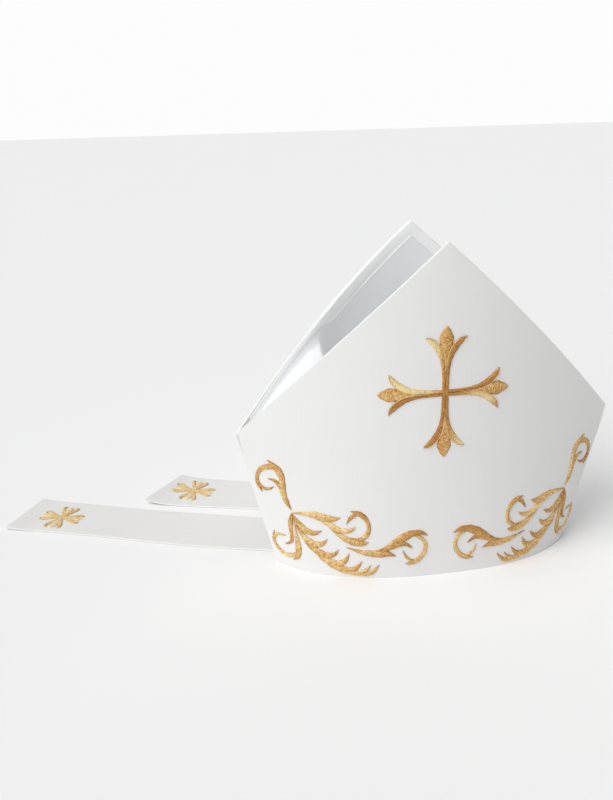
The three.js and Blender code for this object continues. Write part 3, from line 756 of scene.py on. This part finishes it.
def make_lappet(name):
    bm = bmesh.new()
    rows = np.array(LAPPETS[name], float)
    seam_near, seam_far = LAPPET_SEAMS[name]

    def place(along, across):
        body = np.clip(along / LAPPET_BODY, 0, 1)
        rail = smooth_rows(rows, body)
        x = rail[:, 0] * (1 - across) + rail[:, 2] * across
        y = rail[:, 1] * (1 - across) + rail[:, 3] * across
        rim_x = seam_near + (seam_far - seam_near) * across
        rim_t = rim_x / (BASE_HALF_WIDTH + LAPPET_THICKNESS / 4)
        rim_y = wall_points("back", rim_t, LAPPET_THICKNESS)[:, 1] + RIM_CLEARANCE
        close = np.clip((along - LAPPET_BODY) / (1 - LAPPET_BODY), 0, 1)
        x = x * (1 - close) + rim_x * close
        y = y * (1 - close) + rim_y * close
        wave = 0.35 * np.sin(along * 19 + 2) * np.sin(across * math.pi) * np.clip(1 - close * 2, 0, 1)
        z = tip_lift(name, x, y) + LAPPET_THICKNESS - 0.1 + np.minimum(wave, 0.1)
        return np.stack([x, y, z], -1)

    uv = grid_faces(bm, *LAPPET_GRID, place)
    for face in bm.faces:
        for loop in face.loops:
            loop[uv].uv = (loop[uv].uv.y * 0.059, loop[uv].uv.x * 0.3)
    piece = finish_piece(
        bm, f"{name}_cloth", material_for("lappet"), [name],
        0.0017, 0.0006, lambda p: Vector((0, 0, 1)))
    piece.data.uv_layers[0].name = "cloth"
    return piece


def stitch_leaf(bm, rows, sheen_tone, place, pitch, relief, across_steps, slant, base=STITCH_GAP):
    """One satin-stitched leaf: threads laid side by side over a padded ridge."""
    rows = np.array(rows, float)
    fine = smooth_rows(rows, np.linspace(0, 1, CURVE_STEPS))
    steps = np.linalg.norm(np.diff(fine[:, :2], axis=0), axis=1)
    travel = np.concatenate([[0], np.cumsum(steps)])
    length = travel[-1]
    count = max(6, int(length / pitch))
    sheen_tone_layer = bm.verts.layers.float["sheen_tone"]
    uv = bm.loops.layers.uv.verify()
    made = bmesh.ops.create_grid(bm, x_segments=count * 2, y_segments=across_steps, size=1, calc_uvs=True)
    verts = made["verts"]
    flat = np.array([(v.co.x, v.co.y) for v in verts])
    along = flat[:, 0] * 0.5 + 0.5
    side = flat[:, 1]
    half_here = np.interp(along * length, travel, fine[:, 2])
    shifted = np.clip(along * length + side * half_here * slant, 0, length)
    centre = np.stack([np.interp(shifted, travel, fine[:, k]) for k in range(3)], -1)
    ahead = np.clip(shifted + HEADING_REACH, 0, length)
    behind = np.clip(shifted - HEADING_REACH, 0, length)
    direction = np.stack([np.interp(ahead, travel, fine[:, k]) - np.interp(behind, travel, fine[:, k])
                          for k in range(2)], -1)
    direction /= np.maximum(np.linalg.norm(direction, axis=1, keepdims=True), 1e-9)
    half = np.maximum(centre[:, 2], LEAST_HALF_WIDTH)
    ridge = 0.5 - 0.5 * np.cos(along * count * 2 * math.pi)
    jitter = 1 + 0.05 * np.sin(np.floor(along * count) * 12.9898)
    u = centre[:, 0] - direction[:, 1] * side * half * jitter
    v = centre[:, 1] + direction[:, 0] * side * half * jitter
    dome = np.clip(1 - np.abs(side) ** 2.4, 0, 1) ** 0.5
    height = relief * np.minimum(1, 0.35 + 0.3 * half) * dome
    lift = base + height + pitch * 0.36 * ridge * (0.35 + 0.65 * dome)
    for vert, point in zip(verts, place(u, v, lift)):
        vert.co = Vector(point) * MM
    # Painted sheen: the tone sets how light the thread is painted; painted shade darkens the rims and painted
    # light lightens one side.
    stops = np.atleast_1d(sheen_tone).astype(float)
    sheen_tones = np.interp(along, np.linspace(0, 1, len(stops)), stops) if len(stops) > 1 else along * 0 + stops[0]
    edge = np.clip((np.abs(side) - 0.6) / 0.4, 0, 1)
    for vert, value in zip(verts, sheen_tones - EDGE_PAINTED_SHADE * edge + SIDE_PAINTED_LIGHT * side):
        vert[sheen_tone_layer] = value
    faces = {face for vert in verts for face in vert.link_faces}
    for face in faces:
        for loop in face.loops:
            loop[uv].uv = (loop[uv].uv.x * count, loop[uv].uv.y)


def make_stitching(name, node, leaves, place, outward, material="gold"):
    sizes = bpy.context.scene.mitre
    bm = bmesh.new()
    bm.verts.layers.float.new("sheen_tone")
    for rows, sheen_tone, slant, *base in leaves:
        stitch_leaf(bm, rows, sheen_tone, place, sizes.stitch_pitch / MM, sizes.stitch_relief / MM,
                    sizes.across_stitch, slant, *base)
    piece = finish_piece(bm, name, material_for(material), [node], 0.00025, 0.0, outward)
    piece.data.uv_layers[0].name = "stitches"
    return piece


def painted_highlight_edge(rows):
    """Narrow line of stitches painted light, a painted highlight along the edge of a side petal that faces
    the middle one.
    """
    rows = np.array([row for row in rows if row[1] >= HIGHLIGHT_EDGE_START], float)
    heading = np.gradient(rows[:, :2], axis=0)
    heading /= np.linalg.norm(heading, axis=1, keepdims=True)
    inward = np.stack([-heading[:, 1], heading[:, 0]], -1)
    place = rows[:, :2] + inward * np.maximum(rows[:, 2:] - HIGHLIGHT_EDGE_HALF_WIDTH, 0)
    width = np.full(len(rows), HIGHLIGHT_EDGE_HALF_WIDTH)
    width[[0, -1]] /= 3
    return np.column_stack([place, width])


def cross_leaves(middle, side, sheen_tones, with_highlight_edges=False):
    leaves = []
    for quarter in range(4):
        c, s = ((1, 0), (0, 1), (-1, 0), (0, -1))[quarter]
        sheen_tone = sheen_tones[quarter]
        for k, (rows, mirror) in enumerate(((middle, 1), (side, -1), (side, 1))):
            turned = [(r[0] * mirror * c - r[1] * s, r[0] * mirror * s + r[1] * c, r[2]) for r in rows]
            leaves.append((turned, sheen_tone[k], 0.0 if k == 0 else 0.5 * mirror))
        # Painted highlight: light lines of stitches along the side petals' inner edges.
        for mirror in (-1, 1) if with_highlight_edges else ():
            turned = [(r[0] * mirror * c - r[1] * s, r[0] * mirror * s + r[1] * c, r[2])
                      for r in painted_highlight_edge(side)]
            leaves.append((turned, HIGHLIGHT_EDGE_TONES, 0.5 * mirror, HIGHLIGHT_EDGE_LIFT))
    return leaves


FRONT_STITCHING = ["cross_stitching"] + [
    f"{name}_{hand}_stitching" for hand in ("right", "left") for name in SCROLLS]


class MITRE_OT_panels(bpy.types.Operator):
    """Front and back panels with the cloth turned in along their slanted edges"""

    bl_idname = "mitre.panels"
    bl_label = "Panels"

    def execute(self, context):
        for side, area, pieces in (("front", 0.065, FRONT_STITCHING), ("back", 0.066, [])):
            panel = make_panel(side)
            facing = make_facing(side)
        return {"FINISHED"}


class MITRE_OT_lining(bpy.types.Operator):
    """Satin pocket that hangs between the two peaks"""

    bl_idname = "mitre.lining"
    bl_label = "Lining"

    def execute(self, context):
        make_lining()
        return {"FINISHED"}


class MITRE_OT_lappets(bpy.types.Operator):
    """Two lappets laid on the table, each with a small embroidered cross"""

    bl_idname = "mitre.lappets"
    bl_label = "Lappets"

    def execute(self, context):
        for name in LAPPETS:
            lappet = make_lappet(name)
            x, y, turn = LAPPET_CROSSES[name]
            c, s = math.cos(math.radians(turn)), math.sin(math.radians(turn))

            def place(u, v, lift, name=name, x=x, y=y, c=c, s=s):
                px, py = x + u * c - v * s, y + u * s + v * c
                return np.stack([px, py, tip_lift(name, px, py) + LAPPET_THICKNESS - 0.05 + lift], -1)

            leaves = cross_leaves(LAPPET_MIDDLE, LAPPET_SIDE, LAPPET_SHEEN_TONES)
            cross = make_stitching(f"{name}_stitching", f"{name}_cross", leaves, place,
                                   lambda p: Vector((0, 0, 1)), "pale")
        return {"FINISHED"}


class MITRE_OT_cross(bpy.types.Operator):
    """Satin-stitched cross on the front panel"""

    bl_idname = "mitre.cross"
    bl_label = "Cross"

    def execute(self, context):
        leaves = cross_leaves(CROSS_MIDDLE, CROSS_SIDE, CROSS_SHEEN_TONES, True)

        def place(u, v, lift):
            return front_points(u, v + CROSS_CENTRE_HEIGHT, lift)

        make_stitching("cross_stitching", "front_cross", leaves, place, lambda p: Vector((0, -1, 0)))
        return {"FINISHED"}


class MITRE_OT_scrolls(bpy.types.Operator):
    """Satin-stitched leaf scrolls in the two lower corners of the front panel"""

    bl_idname = "mitre.scrolls"
    bl_label = "Scrolls"

    def execute(self, context):
        for hand, sign in (("right", 1), ("left", -1)):
            for name, charts in SCROLLS.items():
                # Painted highlight: each leaf is painted lighter along its middle than at its ends.
                leaves = [([(u * sign, z, half) for u, z, half in rows],
                           (sheen_tone - 0.05, sheen_tone + 0.22, sheen_tone + 0.15, sheen_tone - 0.05), 0.55 * sign)
                          for sheen_tone, rows in charts]
                make_stitching(f"{name}_{hand}_stitching", f"{name}_{hand}", leaves, front_points,
                               lambda p: Vector((p.x * 8, -1, 0)))
        return {"FINISHED"}


def toward(bearing, height):
    """Direction from the mitre to a light or camera at a bearing and height in degrees."""
    turn, lift = math.radians(bearing), math.radians(height)
    return Vector((math.sin(turn) * math.cos(lift), -math.cos(turn) * math.cos(lift), math.sin(lift)))


class MITRE_OT_stage(bpy.types.Operator):
    """Table, lights and camera"""

    bl_idname = "mitre.stage"
    bl_label = "Stage"

    def execute(self, context):
        scene = context.scene
        bm = bmesh.new()
        bmesh.ops.create_grid(bm, x_segments=8, y_segments=8, size=6)
        mesh = bpy.data.meshes.new("table_top")
        bm.to_mesh(mesh)
        bm.free()
        mesh.materials.append(floor_material(scene.mitre.floor_colour))
        floor = bpy.data.objects.new("table_top", mesh)
        scene.collection.objects.link(floor)

        scene.view_settings.view_transform = "Standard"
        world = bpy.data.worlds.new("soft_room")
        scene.world = world
        world.use_nodes = True
        nodes, links = world.node_tree.nodes, world.node_tree.links
        room = next(n for n in nodes if n.type == "BACKGROUND")
        room.inputs["Color"].default_value = (1, 1, 1, 1)
        place = nodes.new("ShaderNodeTexCoord")
        split = nodes.new("ShaderNodeSeparateXYZ")
        fall = nodes.new("ShaderNodeMapRange")
        fall.inputs["From Min"].default_value = 0.1
        fall.inputs["From Max"].default_value = 0.2
        fall.inputs["To Min"].default_value = HORIZON_LIGHT
        fall.inputs["To Max"].default_value = SKY_LIGHT
        links.new(place.outputs["Generated"], split.inputs["Vector"])
        links.new(split.outputs["Z"], fall.inputs["Value"])
        links.new(fall.outputs["Result"], room.inputs["Strength"])

        for name, (strength, bearing, height, spread) in LIGHTS.items():
            light = bpy.data.lights.new(name, "SUN")
            light.energy = strength * math.pi
            light.angle = math.radians(spread)
            lamp = bpy.data.objects.new(name, light)
            source = toward(bearing, height)
            lamp.matrix_world = source.to_track_quat("Z", "Y").to_matrix().to_4x4()
            scene.collection.objects.link(lamp)

        back = toward(CAMERA_BEARING, CAMERA_ELEVATION)
        ahead = -back
        right = Vector((0, 0, 1)).cross(back).normalized()
        up = right.cross(ahead)
        turn = Matrix.Rotation(math.radians(CAMERA_YAW), 3, up)
        right, ahead = turn @ right, turn @ ahead
        turn = Matrix.Rotation(math.radians(CAMERA_PITCH), 3, right)
        up, ahead = turn @ up, turn @ ahead
        turn = Matrix.Rotation(math.radians(CAMERA_ROLL), 3, ahead)
        right, up = turn @ right, turn @ up
        lens = bpy.data.cameras.new("camera")
        lens.lens = CAMERA_LENS
        lens.sensor_width = CAMERA_SENSOR
        camera = bpy.data.objects.new("camera", lens)
        spot = Vector((0, 0, PEAK_HEIGHT * MM / 2)) + back * CAMERA_DISTANCE
        facing = Matrix((right, up, -ahead)).transposed().to_4x4()
        camera.matrix_world = Matrix.Translation(spot) @ facing
        scene.collection.objects.link(camera)
        scene.camera = camera
        return {"FINISHED"}


class MITRE_PT_tools(bpy.types.Panel):
    """Buttons for the pieces of the mitre"""

    bl_label = "Mitre"
    bl_idname = "MITRE_PT_tools"
    bl_space_type = "VIEW_3D"
    bl_region_type = "UI"
    bl_category = "Mitre"

    def draw(self, context):
        for name in MitreSizes.__annotations__:
            self.layout.prop(context.scene.mitre, name)
        for operator in OPERATORS:
            self.layout.operator(operator.bl_idname)


OPERATORS = (MITRE_OT_cross, MITRE_OT_scrolls, MITRE_OT_panels, MITRE_OT_lining, MITRE_OT_lappets,
             MITRE_OT_stage)
CLASSES = (MitreSizes, *OPERATORS, MITRE_PT_tools)


def register():
    for cls in CLASSES:
        bpy.utils.register_class(cls)
    bpy.types.Scene.mitre = PointerProperty(type=MitreSizes)


def unregister():
    del bpy.types.Scene.mitre
    for cls in reversed(CLASSES):
        bpy.utils.unregister_class(cls)


def main():
    register()
    bpy.ops.mitre.cross()
    bpy.ops.mitre.scrolls()
    bpy.ops.mitre.panels()
    bpy.ops.mitre.lining()
    bpy.ops.mitre.lappets()
    bpy.ops.mitre.stage()
    bpy.context.view_layer.update()


if __name__ == "__main__":
    main()
